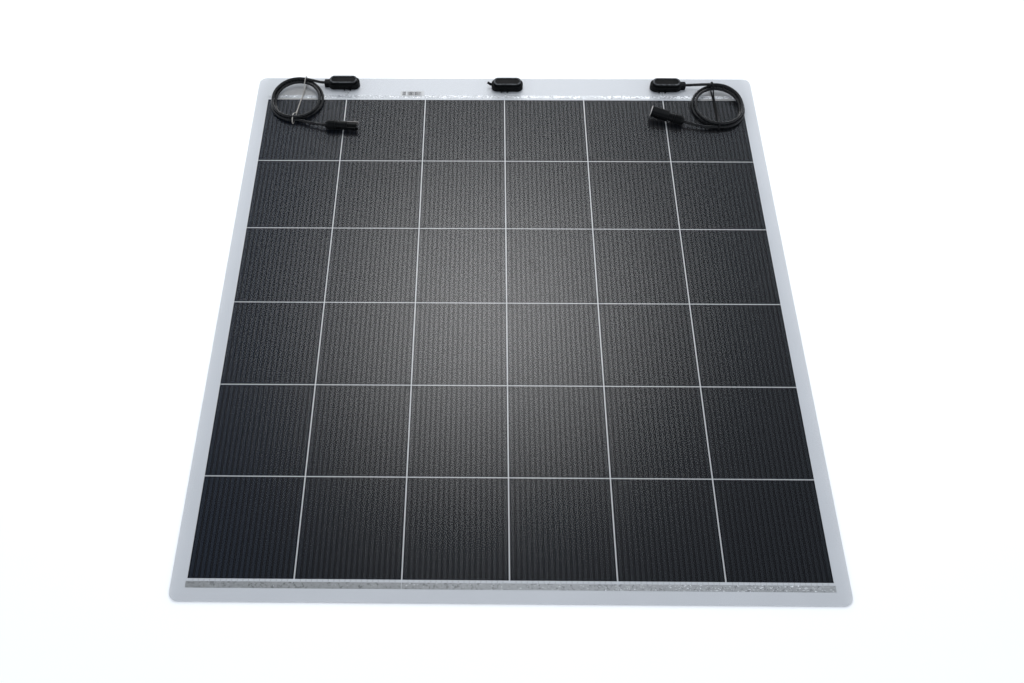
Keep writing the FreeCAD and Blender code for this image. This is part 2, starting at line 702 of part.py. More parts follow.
def make_nut(name, place):
    """The fluted gland nut at a connector's cable end."""
    body = new_body(name, place)
    cone(body, "nut_neck", "nut_radius", "0", "nut_dome")
    rod(body, "nut_radius", "nut_dome", "nut_length")
    fillet(body, "nut_edge", lambda edge: abs(edge.BoundBox.ZMax) < CLOSE)
    flute = rod(body, "flute_radius", "nut_dome", "nut_length + cut_past", cut=True, at=("flute_centre", "0"))
    ring_of(body, flute, "flutes")
    rod(body, "nut_inner", "nut_wall", "nut_length + cut_past", cut=True)
    rod(body, "nut_bore", "-cut_past", "nut_wall + cut_past", cut=True)
    return body


def make_seal(name, place):
    """The rubber ring that the nut presses on the cable."""
    body = new_body(f"{name}_seal", place)
    rod(body, "seal_radius", "seal_low", "seal_high")
    rod(body, "bush_bore", "seal_low", "seal_high", cut=True)
    return body


def add_spigot(body):
    """The threaded end that the nut screws on, and the flange that it stops at."""
    rod(body, "spigot_radius", "spigot_low", "flange_high")
    rod(body, "flange_radius", "flange_low", "flange_high")
    fillet(body, "flange_edge", lambda edge: lies_at(edge, "flange_low", "flange_high"))


def make_socket_housing(place):
    """The socket's housing: a barrel with a seat for each latch, and a round nose."""
    body = new_body("socket_housing", place)
    add_spigot(body)
    rod(body, "barrel_radius", "flange_high - join", "barrel_high")
    fillet(body, "barrel_edge", lambda edge: lies_at(edge, "barrel_high"))
    rod(body, "nose_radius", "barrel_high - join", "nose_high")
    fillet(body, "nose_edge", lambda edge: lies_at(edge, "nose_high"))
    outside = "barrel_radius + cut_past"
    for low, high in (("pocket_floor", outside), (f"-({outside})", "-pocket_floor")):
        block(body, ("-pocket_half", low, "pocket_low"),
              ("pocket_half", high, "barrel_high + cut_past"), cut=True)
    rod(body, "core_bore", "spigot_low - cut_past", "nose_high + cut_past", cut=True)
    return body


def make_latch(name, place, side):
    """One spring arm with its barb, on the given side of the nose."""
    body = new_body(name, place)
    inner, outer, barb = (f"{side} * {edge}" for edge in ("latch_in", "latch_out", "barb_out"))
    spans = ((inner, outer), (outer, barb)) if side > 0 else ((outer, inner), (barb, outer))
    block(body, ("-latch_half", spans[0][0], "latch_low"), ("latch_half", spans[0][1], "latch_high"))
    fillet(body, "latch_edge", lambda edge: lies_at(edge, "latch_high"))
    block(body, ("-latch_half", spans[1][0], "barb_low"), ("latch_half", spans[1][1], "barb_high"))
    return body


def make_socket_contact(place):
    """The tinned tube that takes the other connector's pin."""
    body = new_body("socket_contact", place)
    rod(body, "contact_radius", "contact_low", "contact_high")
    rod(body, "contact_bore", "contact_mouth", "contact_high + cut_past", cut=True)
    return body


def make_plug_housing(place):
    """The plug's housing: a sleeve with a channel and a window for each of the other's latches."""
    body = new_body("plug_housing", place, many=True)
    centred(body, "2 * sleeve_rise", "2 * sleeve_side", "sleeve_low", "sleeve_high")
    fillet(body, "sleeve_corner", is_upright)
    fillet(body, "sleeve_edge", lambda edge: lies_at(edge, "sleeve_low", "sleeve_high"))
    add_spigot(body)
    mouth = "sleeve_high + cut_past"
    rod(body, "neck_radius", "flange_high - join", "sleeve_low + join")
    rod(body, "cavity_radius", "cavity_low", mouth, cut=True)
    centred(body, "2 * channel_rise", "2 * channel_side", "cavity_low", mouth, cut=True)
    centred(body, "2 * channel_rise", "2 * (sleeve_side + cut_past)", "window_low", "window_high", cut=True)
    rod(body, "core_bore", "spigot_low - cut_past", "cavity_low + cut_past", cut=True)
    return body


def make_plug_pin(place):
    """The tinned pin in the middle of the plug's sleeve."""
    body = new_body("plug_pin", place)
    rod(body, "contact_radius", "contact_low", "pin_shoulder")
    rod(body, "pin_radius", "pin_shoulder - join", "pin_high")
    fillet(body, "pin_edge", lambda edge: lies_at(edge, "pin_high"))
    return body


def make_connectors():
    """The socket on the left lead and the plug on the right one."""
    socket = connector_place(SOCKET_BACK, SOCKET_TURN, SOCKET_TILT)
    plug = connector_place(PLUG_BACK, PLUG_TURN, PLUG_TILT)
    nodes = [make_nut("socket_nut", socket), make_socket_housing(socket), make_socket_contact(socket),
             make_latch("near_latch", socket, 1), make_latch("far_latch", socket, -1),
             make_nut("plug_nut", plug), make_plug_housing(plug), make_plug_pin(plug)]
    return nodes, [make_seal("socket", socket), make_seal("plug", plug)]


# ------------------------------------------------------------------ build and write
def check(doc, nodes):
    """Stops if any object failed or any node isn't a valid shape."""
    failed = [o.Label for o in doc.Objects if {"Invalid", "Error"} & set(o.State)]
    bad = [n.Label for n in nodes if n.Shape.isNull() or not n.Shape.isValid() or not n.Shape.Solids]
    if failed or bad:
        raise RuntimeError(f"failed objects {failed}, bad shapes {bad}")


def main():
    doc = FreeCAD.newDocument("SolarSheet")
    write_sizes(doc)
    nodes = make_laminate()
    ribbons = next(n for n in nodes if n.Label == "top_bus_ribbons")
    boxes, bushes = make_boxes(ribbons)
    connectors, seals = make_connectors()
    nodes += boxes + make_leads() + connectors + [grouped("cable_seals", bushes + seals)]
    doc.recompute()
    check(doc, nodes)
    os.makedirs("parts", exist_ok=True)
    for node in nodes:
        node.Shape.exportStep(f"parts/{node.Label}.step")
        print(node.Label, len(node.Shape.Solids), "solids", round(node.Shape.Volume / 1000, 2), "cm3")
    print(len(nodes), "nodes")


main()
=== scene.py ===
import json
import math

import bmesh
import bpy
from mathutils import Euler, Matrix, Vector


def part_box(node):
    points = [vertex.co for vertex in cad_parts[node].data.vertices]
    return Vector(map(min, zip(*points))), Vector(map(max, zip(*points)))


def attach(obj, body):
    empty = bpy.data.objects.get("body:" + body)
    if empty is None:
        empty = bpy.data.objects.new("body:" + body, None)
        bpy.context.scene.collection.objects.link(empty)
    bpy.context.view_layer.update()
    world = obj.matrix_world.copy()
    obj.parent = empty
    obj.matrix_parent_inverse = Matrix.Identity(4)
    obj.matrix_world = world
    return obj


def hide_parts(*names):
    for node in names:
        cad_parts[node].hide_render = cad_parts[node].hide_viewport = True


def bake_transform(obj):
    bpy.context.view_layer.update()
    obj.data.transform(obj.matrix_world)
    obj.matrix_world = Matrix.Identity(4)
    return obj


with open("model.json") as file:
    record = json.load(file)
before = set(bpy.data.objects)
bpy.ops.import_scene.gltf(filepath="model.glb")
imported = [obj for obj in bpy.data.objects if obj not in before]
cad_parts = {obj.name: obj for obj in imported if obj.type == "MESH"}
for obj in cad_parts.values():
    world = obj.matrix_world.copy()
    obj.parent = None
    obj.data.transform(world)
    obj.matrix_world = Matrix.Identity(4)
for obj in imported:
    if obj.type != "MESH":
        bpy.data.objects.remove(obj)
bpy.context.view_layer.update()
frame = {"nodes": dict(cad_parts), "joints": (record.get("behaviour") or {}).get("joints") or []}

# A semi-flexible solar sheet. Metres throughout, in the frame's own axes: +Z up, +Y towards
# the edge with the junction boxes. The laminate is made in five zones, one across each
# hinge line. Its places come from the frame; the leads, the ties, the camera and the lights
# have places of their own.

MM = 0.001

# ------------------------------------------------------------------ places from the frame
SHEET_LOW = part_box("back_sheet_6")[0]
SHEET_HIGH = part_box("back_sheet_1")[1]
FILM_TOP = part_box("front_film_1")[1].z
CELLS_START, CELLS_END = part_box("cells_1")
CELL_LOW, CELL_TOP = CELLS_START.z, CELLS_END.z
HINGES = [joint["pos_m"][1] for joint in frame["joints"] if joint["name"].startswith("bend_")]
PITCH = HINGES[0] - HINGES[1]
EACH_WAY = 6  # rows of cells, and cells in each row
SPAN = (EACH_WAY - 1) * PITCH  # from the first cell's middle to the last one's
LAST_ZONE = EACH_WAY - 2  # the zones are counted from 0
CELL_REACH, CELL_FAR = CELLS_END.x, CELLS_END.y
CELL_WIDTH = 2 * CELL_REACH - SPAN
CELL_LENGTH = CELLS_END.y - CELLS_START.y
CELL_MIDDLES_X = [(column - (EACH_WAY - 1) / 2) * PITCH for column in range(EACH_WAY)]
CELL_MIDDLES_Y = [HINGES[0] + PITCH / 2 - row * PITCH for row in range(EACH_WAY)]
FIELD_MIDDLE = (CELL_MIDDLES_Y[0] + CELL_MIDDLES_Y[-1]) / 2
COLUMN_START = CELL_MIDDLES_X[0] - PITCH / 2  # where the first column of cells starts
ROW_START = CELL_MIDDLES_Y[0] - PITCH / 2  # the near side of the far row
WIRES = 18  # on each cell
WIRE_WIDTH, WIRE_THICK = 0.8 * MM, 0.1 * MM
WIRE_PITCH = (2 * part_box("cell_wires_1")[1].x - SPAN - WIRE_WIDTH) / (WIRES - 1)
CORNER = 15 * MM  # the sheet's corner radius
NEARLY = 0.1 * MM  # how far past its edge a cell still counts

# ------------------------------------------------------------------ camera and lights
CAMERA_PLACE = (-0.0445, -0.8112, 1.3286)
CAMERA_TILT, CAMERA_TURN, CAMERA_ROLL = 28.39, 0.99, -0.566  # degrees
CAMERA_LENS, CAMERA_SENSOR, CAMERA_SHIFT = 29.53, 36.0, 0.0358  # millimetres, and a share of the width


def make_camera():
    """The camera, in front of the near edge and above it, looking down at the sheet."""
    data = bpy.data.cameras.new("camera")
    data.lens = CAMERA_LENS
    data.sensor_width = CAMERA_SENSOR
    data.shift_x = CAMERA_SHIFT
    camera = bpy.data.objects.new("camera", data)
    turn = Euler((math.radians(CAMERA_TILT), 0, math.radians(CAMERA_TURN))).to_matrix()
    roll = Matrix.Rotation(math.radians(CAMERA_ROLL), 3, "Z")
    camera.matrix_world = Matrix.Translation(CAMERA_PLACE) @ (turn @ roll).to_4x4()
    bpy.context.scene.collection.objects.link(camera)
    bpy.context.scene.camera = camera


def area_light(name, place, target, size, power, colour=(1, 1, 1), shape="RECTANGLE"):
    """A soft flat lamp at a place, facing a point."""
    data = bpy.data.lights.new(name, "AREA")
    data.shape = shape
    data.size, data.size_y = size
    data.energy = power
    data.color = colour
    lamp = bpy.data.objects.new(name, data)
    lamp.location = place
    lamp.rotation_euler = (Vector(target) - Vector(place)).to_track_quat("-Z", "Y").to_euler()
    bpy.context.scene.collection.objects.link(lamp)


# The softbox, in layers: width, height and power of each. It is brightest at its middle.
SOFTBOX = ((0.76, 0.74, 4.3), (1.22, 1.19, 9.8), (1.75, 1.70, 15.6), (2.44, 2.37, 11.6))
SOFTBOX_PLACE, SOFTBOX_TARGET = (-0.017, 1.367, 2.398), (-0.03, 0.03, 0)
FAR_FILL_PLACE, FAR_FILL_SIZE, FAR_FILL_POWER = (0, 3.4, 1.5), (2.4, 1.0), 44
WARM = (1.0, 0.99, 0.97)


def make_lights():
    """A round softbox past the far edge, which the film mirrors as a broad glow, and a fill."""
    for layer, (width, height, power) in enumerate(SOFTBOX, 1):
        area_light(f"softbox_{layer}", SOFTBOX_PLACE, SOFTBOX_TARGET, (width, height), power,
                   shape="ELLIPSE")
    area_light("far_fill", FAR_FILL_PLACE, (0, 0, 0), FAR_FILL_SIZE, FAR_FILL_POWER, WARM)


# The room's light by height, from 0 at the horizon to 1 straight overhead.
SKY = ((0.0, (1.90, 1.97, 2.08)), (0.45, (1.46, 1.53, 1.63)),
       (0.70, (0.40, 0.46, 0.54)), (1.0, (0.05, 0.07, 0.10)))


def make_world():
    """A pale room, brighter towards the horizon and dim and blue overhead."""
    world = bpy.data.worlds.new("room")
    world.use_nodes = True
    tree = world.node_tree
    separate = tree.nodes.new("ShaderNodeSeparateXYZ")
    ramp = tree.nodes.new("ShaderNodeValToRGB")
    tree.links.new(tree.nodes.new("ShaderNodeTexCoord").outputs["Generated"], separate.inputs[0])
    tree.links.new(separate.outputs["Z"], ramp.inputs[0])
    tree.links.new(ramp.outputs[0], tree.nodes["Background"].inputs["Color"])
    for height, _ in SKY[1:-1]:
        ramp.color_ramp.elements.new(height)
    for element, (height, colour) in zip(ramp.color_ramp.elements, SKY):
        element.position, element.color = height, (*colour, 1)
    bpy.context.scene.world = world


# ------------------------------------------------------------------ node helpers
class Shader:
    """A material's node tree, with short ways to add and link nodes."""

    def __init__(self, name):
        self.material = bpy.data.materials.new(name)
        self.material.use_nodes = True
        self.tree = self.material.node_tree
        self.tree.nodes.clear()
        self.output = self.tree.nodes.new("ShaderNodeOutputMaterial")

    def add(self, kind, outlet=0, settings=None, **inputs):
        """Adds a node, sets its properties and inputs, and returns one of its outputs."""
        node = self.tree.nodes.new("ShaderNode" + kind)
        for name, value in (settings or {}).items():
            setattr(node, name, value)
        for name, value in inputs.items():
            key = int(name[1:]) if name[0] == "_" and name[1:].isdigit() else name.replace("_", " ")
            self.feed(node.inputs[key], value)
        return node.outputs[outlet]

    def feed(self, socket, value):
        """Links an output to a socket, or sets the socket's own value."""
        if isinstance(value, bpy.types.NodeSocket):
            self.tree.links.new(value, socket)
        else:
            socket.default_value = value

    def maths(self, operation, *values):
        """A Math node."""
        inputs = {f"_{i}": value for i, value in enumerate(values)}
        return self.add("Math", settings={"operation": operation}, **inputs)

    def place(self):
        """The point's place in the piece, which is its place in the frame at rest."""
        return self.add("TexCoord", outlet="Object")

    def distance(self, point):
        """How far the point being shaded is from another point."""
        return self.add("VectorMath", outlet="Value", settings={"operation": "DISTANCE"},
                        _0=self.place(), _1=point)

    def noise(self, scale, detail=3.0, vector=None, roughness=0.5):
        """A cloud of grey from 0 to 1, with its scale per metre."""
        vector = vector or self.place()
        return self.add("TexNoise", Vector=vector, Scale=scale, Detail=detail, Roughness=roughness)

    def ramp(self, value, low, high, out_low=0.0, out_high=1.0, smooth=True):
        """A value's span from low to high mapped to another span, and held beyond it."""
        kind = "SMOOTHSTEP" if smooth else "LINEAR"
        return self.add("MapRange", settings={"interpolation_type": kind}, Value=value,
                        From_Min=low, From_Max=high, To_Min=out_low, To_Max=out_high)

    def mix(self, factor, first, second):
        """A mix of two colours."""
        node = self.tree.nodes.new("ShaderNodeMix")
        node.data_type = "RGBA"
        self.feed(node.inputs["Factor"], factor)
        self.feed(node.inputs["A"], first)
        self.feed(node.inputs["B"], second)
        return node.outputs["Result"]

    def bump(self, height, strength, distance):
        """A bump from a height, as deep as distance."""
        return self.add("Bump", Height=height, Strength=strength, Distance=distance)

    def finish(self, surface):
        """Ends the tree with the surface and returns the material."""
        self.tree.links.new(surface, self.output.inputs["Surface"])
        return self.material

    def principled(self, **inputs):
        """Ends the tree with a Principled surface and returns the material."""
        return self.finish(self.add("BsdfPrincipled", **inputs))


def grey(value):
    """A neutral colour."""
    return (value, value, value, 1)


def separate(s):
    """The x, y and z of the point's place."""
    node = s.tree.nodes.new("ShaderNodeSeparateXYZ")
    s.feed(node.inputs[0], s.place())
    return node.outputs


def wave(s, coordinate, pitch, offset):
    """A cosine from 0 to 1 along one coordinate, 1 at the offset."""
    turn = s.maths("MULTIPLY", s.maths("SUBTRACT", coordinate, offset), 2 * math.pi / pitch)
    return s.maths("MULTIPLY_ADD", s.maths("COSINE", turn), 0.5, 0.5)


def in_cell(s, coordinate, start):
    """How far a point is past the start of its own span of one pitch, along one coordinate."""
    return s.maths("FLOORED_MODULO", s.maths("SUBTRACT", coordinate, start), PITCH)


def from_middle(s, coordinate, start):
    """How far a point is from the middle of its own span of one pitch."""
    return s.maths("ABSOLUTE", s.maths("SUBTRACT", in_cell(s, coordinate, start), PITCH / 2))


def wire_band(s, x):
    """A soft band from 0 to 1 along each wire."""
    first_wire = PITCH / 2 - (WIRES - 1) / 2 * WIRE_PITCH
    return s.ramp(wave(s, in_cell(s, x, COLUMN_START), WIRE_PITCH, first_wire), 0.35, 0.95)


def in_field(s, x, y):
    """1 inside the outline of the six by six field of cells, and 0 outside."""
    past_middle = s.maths("ABSOLUTE", s.maths("SUBTRACT", y, FIELD_MIDDLE))
    across = s.maths("LESS_THAN", s.maths("ABSOLUTE", x), CELL_REACH + NEARLY)
    along = s.maths("LESS_THAN", past_middle, CELL_FAR - FIELD_MIDDLE + NEARLY)
    return s.maths("MULTIPLY", across, along)


def on_cells(s, x, y):
    """1 where the point is over a cell and 0 over the gaps and margins."""
    across = s.maths("LESS_THAN", from_middle(s, x, COLUMN_START), CELL_WIDTH / 2)
    along = s.maths("LESS_THAN", from_middle(s, y, ROW_START), CELL_LENGTH / 2)
    return s.maths("MULTIPLY", s.maths("MULTIPLY", across, along), in_field(s, x, y))


# ------------------------------------------------------------------ materials
def white_sheet_material():
    """The satin white back sheet, with faint clouding, a fine grain, painted shade in the gaps
    between the cells, and warm painted shade inside the coils' turns, where the leads shade it."""
    s = Shader("white_sheet")
    cloud = s.noise(14, 4)
    x, y, _ = separate(s)
    margin = s.mix(cloud, (0.470, 0.479, 0.494, 1), (0.502, 0.511, 0.527, 1))
    # Painted shade: the gaps between the cells are coloured darker than the margins.
    gaps = (0.405, 0.408, 0.412, 1)
    sheet_with_gap_shade = s.mix(in_field(s, x, y), margin, gaps)
    # Painted shade: inside each coil's turns the sheet is coloured darker and warmer, where the coiled lead
    # shades it.
    painted_lighting = 0.0
    for middle in (LEFT_COIL, RIGHT_COIL):
        ragged = s.maths("MULTIPLY_ADD", cloud, 0.014, s.distance((middle.x, middle.y, SHEET_HIGH.z)))
        painted_lighting = s.maths("ADD", s.ramp(ragged, 0.042, 0.066, 1.0, 0.0), painted_lighting)
    colour = s.mix(s.maths("MULTIPLY", painted_lighting, 0.95), sheet_with_gap_shade, (0.300, 0.292, 0.280, 1))
    return s.principled(Base_Color=colour, Roughness=s.ramp(cloud, 0.2, 0.8, 0.42, 0.55),
                        Normal=s.bump(s.noise(2600, 2), 0.12, 0.0002))


FINGER_PITCH = 1.3 * MM  # of the fine lines across each cell


def cell_material():
    """Dark silicon: soft darker bands of painted shade along the wires, fine fingers, a little
    change from cell to cell, and bluer towards the left."""
    s = Shader("silicon")
    x, y, _ = separate(s)
    band = wire_band(s, x)
    fingers = s.ramp(wave(s, y, FINGER_PITCH, 0), 0.7, 0.95)
    column = s.maths("FLOOR", s.maths("DIVIDE", s.maths("SUBTRACT", x, COLUMN_START), PITCH))
    row = s.maths("FLOOR", s.maths("DIVIDE", s.maths("SUBTRACT", y, HINGES[0]), PITCH))
    tone = s.add("TexWhiteNoise", outlet="Value", Vector=s.add("CombineXYZ", X=column, Y=row))
    plain = s.mix(tone, (0.0082, 0.0090, 0.0108, 1), (0.0104, 0.0113, 0.0130, 1))
    to_the_left = s.ramp(x, -0.5, -0.2, 1.0, 0.0)
    base = s.mix(to_the_left, plain, (0.0070, 0.0096, 0.0155, 1))
    lined = s.mix(s.maths("MULTIPLY", fingers, 0.25), base, (0.0140, 0.0155, 0.0180, 1))
    # Painted shade: the silicon is coloured darker in a soft band along each wire.
    colour = s.mix(s.maths("MULTIPLY", band, 0.72), lined, (0.0012, 0.0014, 0.0020, 1))
    return s.principled(Base_Color=colour, Roughness=s.ramp(band, 0, 1, 0.5, 0.65),
                        Specular_IOR_Level=0.0, Normal=s.bump(band, 1.0, 0.0006))


def wire_material():
    """The thin flat wires: tinned grey at their bare ends, and painted dark over the cells as a painted dark
    reflection.
    """
    s = Shader("dark_wire")
    x, y, _ = separate(s)
    # Painted reflection: over the cells the tinned wires are coloured dark, where they mirror the dark
    # surroundings.
    dark = s.mix(s.noise(900), (0.0030, 0.0034, 0.0042, 1), (0.0052, 0.0058, 0.0070, 1))
    colour = s.mix(on_cells(s, x, y), (0.36, 0.365, 0.37, 1), dark)
    return s.principled(Base_Color=colour, Specular_IOR_Level=0.1,
                        Roughness=s.ramp(s.noise(400), 0.3, 0.7, 0.4, 0.55))


MOST_MIRRORED = 0.09  # the most that the satin film mirrors, even seen nearly edge on
CLEAR_TINT = (0.965, 0.97, 0.975, 1)


def film_material():
    """The clear satin film: nearly all of it lets light through, and it mirrors the room
    softly. Smudges, the wires and the slight sinks at the cells' corners mirror less."""
    s = Shader("clear_film")
    x, y, _ = separate(s)
    normal = s.bump(s.noise(420, 3), 0.06, 0.0004)
    outside = s.maths("SUBTRACT", 1.0, s.add("NewGeometry", outlet="Backfacing"))
    fresnel = s.maths("MINIMUM", s.add("Fresnel", IOR=1.5, Normal=normal), MOST_MIRRORED)
    across_gap = from_middle(s, x, CELL_MIDDLES_X[0])
    along_gap = from_middle(s, y, CELL_MIDDLES_Y[0])
    squares = s.maths("ADD", s.maths("POWER", across_gap, 2), s.maths("POWER", along_gap, 2))
    to_corner = s.maths("MULTIPLY_ADD", s.noise(60), 0.012, s.maths("SQRT", squares))
    sink = s.ramp(to_corner, 0.008, 0.024, 0.72, 1.0)
    over_wires = s.ramp(s.maths("MULTIPLY", wire_band(s, x), on_cells(s, x, y)), 0, 1, 1.0, 0.56)
    share = s.maths("MULTIPLY", fresnel, outside)
    for dulled in (sink, smudges(s), over_wires):
        share = s.maths("MULTIPLY", share, dulled)
    glossy = s.add("BsdfAnisotropic", Color=grey(1.0), Roughness=0.25, Normal=normal)
    clear = s.add("BsdfTransparent", Color=CLEAR_TINT)
    return s.finish(s.add("MixShader", _0=share, _1=clear, _2=glossy))


# The faint marks near the middle: x, y and radius of each.
SMUDGES = ((-0.012, 0.066, 0.010), (0.012, 0.085, 0.008), (-0.040, 0.030, 0.007),
           (0.046, 0.078, 0.010), (0.054, 0.062, 0.012))


def smudges(s):
    """Faint ragged marks where the film is dulled, as a share from 0 to 1."""
    share = 1.0
    wobble = s.maths("MULTIPLY", s.noise(120, 4), 0.012)
    for x, y, radius in SMUDGES:
        ragged = s.maths("ADD", s.distance((x, y, FILM_TOP)), wobble)
        mark = s.ramp(ragged, radius * 0.7, radius * 1.6, 0.84, 1.0)
        share = s.maths("MULTIPLY", share, mark)
    return share


def ribbon_material():
    """Tinned copper ribbon under the film: mottled grey, paler and bluer on the far ribbon, and on the
    near one lighter towards the right as a painted sheen. Painted bright glints gather on the far ribbon and
    towards the right."""
    s = Shader("tinned_ribbon")
    x, y, _ = separate(s)
    mottle = s.noise(240, 5, roughness=0.65)
    stretched = s.add("VectorMath", settings={"operation": "MULTIPLY"}, _0=s.place(), _1=(1.0, 2.5, 1.0))
    dashes = s.noise(260, 3, vector=stretched, roughness=0.6)
    # Painted glints: bright flecks, more of them on the far ribbon and towards the right, where the ribbon
    # would mirror the light.
    glint_gathering = s.maths("ADD", s.ramp(y, 0.0, 0.1, -0.03, 0.09), s.ramp(x, -0.3, 0.45, -0.03, 0.06))
    painted_glint = s.ramp(s.maths("ADD", dashes, glint_gathering), 0.60, 0.70)
    # Painted sheen: the near ribbon is coloured lighter towards the right.
    near_tone_and_sheen = s.mix(s.ramp(x, -0.3, 0.1), (0.245, 0.248, 0.242, 1), (0.330, 0.335, 0.335, 1))
    far_tone = (0.37, 0.38, 0.395, 1)
    tone = s.mix(s.ramp(y, 0.0, 0.1), near_tone_and_sheen, far_tone)
    dull = s.mix(s.ramp(mottle, 0.3, 0.7, 0.0, 0.35), tone, (0.42, 0.425, 0.425, 1))
    colour = s.mix(painted_glint, dull, (0.93, 0.94, 0.95, 1))
    height = s.maths("MULTIPLY_ADD", s.noise(1500, 3), 0.4, mottle)
    return s.principled(Base_Color=colour, Metallic=0.35, Roughness=s.ramp(mottle, 0.3, 0.7, 0.22, 0.5),
                        Normal=s.bump(height, 0.3, 0.0005))


def between(s, coordinate, low, high):
    """1 between two values of a coordinate, and 0 beyond them."""
    above, below = s.maths("GREATER_THAN", coordinate, low), s.maths("LESS_THAN", coordinate, high)
    return s.maths("MULTIPLY", above, below)


BAR_WIDTH = 0.7 * MM
BAR_INSET_X, BAR_INSET_Y = 4 * MM, 1.5 * MM  # from the label's edges to its bars


def label_material():
    """A white printed label with plain bars in place of any writing."""
    s = Shader("bar_label")
    x, y, _ = separate(s)
    low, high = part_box("serial_label")
    step = s.maths("FLOOR", s.maths("DIVIDE", x, BAR_WIDTH))
    bar = s.add("TexWhiteNoise", outlet="Value", settings={"noise_dimensions": "1D"}, W=step)
    inside = s.maths("MULTIPLY", between(s, x, low.x + BAR_INSET_X, high.x - BAR_INSET_X),
                     between(s, y, low.y + BAR_INSET_Y, high.y - BAR_INSET_Y))
    ink = s.maths("MULTIPLY", s.maths("GREATER_THAN", bar, 0.3), inside)
    return s.principled(Base_Color=s.mix(ink, grey(0.45), grey(0.06)),
                        Roughness=s.ramp(s.noise(300), 0.2, 0.8, 0.4, 0.6))


def plastic_material(name, colour, rough, grain=900, depth=0.00012, shine=0.06):
    """Moulded plastic with a fine grain, faint colour change and a soft rub of light on it."""
    s = Shader(name)
    cloud = s.noise(60, 4)
    light = tuple(min(1.0, c * 1.35) for c in colour)
    shade = s.mix(s.ramp(cloud, 0.3, 0.7), (*colour, 1), (*light, 1))
    return s.principled(Base_Color=shade, Specular_IOR_Level=shine,
                        Roughness=s.ramp(cloud, 0.3, 0.7, rough - 0.05, rough + 0.08),
                        Normal=s.bump(s.noise(grain, 3), 0.35, depth))


def plastic_with_painted_highlight(s, painted_highlight, shades, painted_lighting, rough, grain):
    """Black moulded plastic between two shades, with a pale painted highlight where the highlight mask is 1.
    """
    cloud = s.noise(60, 4)
    shade = s.mix(cloud, *shades)
    return s.principled(Base_Color=s.mix(painted_highlight, shade, painted_lighting), Specular_IOR_Level=0.06,
                        Roughness=s.ramp(cloud, 0.3, 0.7, *rough),
                        Normal=s.bump(s.noise(grain, 3), 0.35, 0.00015))


def lid_material():
    """The lid's plastic, with a painted highlight: a little paler along its upper edge."""
    s = Shader("lid_plastic")
    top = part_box("middle_box_lid")[1].z
    height = s.add("SeparateXYZ", outlet="Z", Vector=s.place())
    # Painted highlight: the lid's upper edge is coloured paler, where light catches it.
    edge = s.ramp(height, top - 0.8 * MM, top - 0.4 * MM)
    painted_highlight = s.maths("MULTIPLY", edge, s.ramp(s.noise(220, 3), 0.3, 0.7, 0.25, 1.0))
    shades = ((0.0020, 0.0023, 0.0026, 1), (0.0032, 0.0036, 0.0040, 1))
    return plastic_with_painted_highlight(s, painted_highlight, shades, (0.085, 0.089, 0.094, 1), (0.28, 0.4), 900)


def mouth_material():
    """The plug's black plastic, with a pale painted highlight along the upper edge of its mouth."""
    s = Shader("rimmed_plastic")
    axis = axis_of(PLUG_TURN, PLUG_TILT)
    mouth = max(axis.dot(v.co - PLUG_BACK) for v in frame["nodes"]["plug_housing"].data.vertices)
    offset = s.add("VectorMath", settings={"operation": "SUBTRACT"}, _0=s.place(), _1=tuple(PLUG_BACK))
    reach = s.add("VectorMath", outlet="Value", settings={"operation": "DOT_PRODUCT"},
                  _0=offset, _1=tuple(axis))
    # Painted highlight: the upper side of the mouth's rim is coloured pale, where light catches it.
    upper = s.ramp(s.add("SeparateXYZ", outlet="Z", Vector=s.place()), 0.014, 0.020)
    rim = s.maths("MULTIPLY", s.ramp(reach, mouth - 1.6 * MM, mouth - 1.0 * MM), upper)
    painted_highlight = s.maths("MULTIPLY", rim, s.ramp(s.noise(500, 3), 0.2, 0.5, 0.6, 1.0))
    shades = ((0.0024, 0.0027, 0.0030, 1), (0.0034, 0.0038, 0.0042, 1))
    return plastic_with_painted_highlight(s, painted_highlight, shades, (0.42, 0.41, 0.40, 1), (0.31, 0.44), 800)


def metal_material(name, colour, rough):
    """Bare or tinned metal with fine drawing marks."""
    s = Shader(name)
    marks = s.noise(1800, 4)
    shade = s.mix(marks, (*colour, 1), (*(c * 0.75 for c in colour), 1))
    return s.principled(Base_Color=shade, Metallic=1.0,
                        Roughness=s.ramp(marks, 0.3, 0.7, rough, rough + 0.15),
                        Normal=s.bump(marks, 0.15, 0.00008))


def floor_material():
    """A plain pale floor."""
    s = Shader("pale_floor")
    tone = s.mix(s.noise(3, 2), grey(0.96), grey(0.975))
    return s.principled(Base_Color=tone, Roughness=0.9, Specular_IOR_Level=0.1)


# ------------------------------------------------------------------ mesh helpers
SAME_PLACE = 1e-6  # vertices nearer than this are joined


def face_outwards(mesh):
    """Joins vertices that share a place and turns every face outwards."""
    shape = bmesh.new()
    shape.from_mesh(mesh)
    bmesh.ops.remove_doubles(shape, verts=shape.verts, dist=SAME_PLACE)
    bmesh.ops.recalc_face_normals(shape, faces=shape.faces)
    shape.to_mesh(mesh)
    shape.free()


def mesh_object(name, vertices, faces, material, smooth=True, split=35):
    """A mesh object whose corners stay sharp past an angle."""
    mesh = bpy.data.meshes.new(name)
    mesh.from_pydata([tuple(v) for v in vertices], [], faces)
    face_outwards(mesh)
    mesh.materials.append(material)
    if smooth:
        mesh.polygons.foreach_set("use_smooth", [True] * len(mesh.polygons))
        mesh.set_sharp_from_angle(angle=math.radians(split))
    mesh.update()
    piece = bpy.data.objects.new(name, mesh)
    bpy.context.scene.collection.objects.link(piece)
    return piece


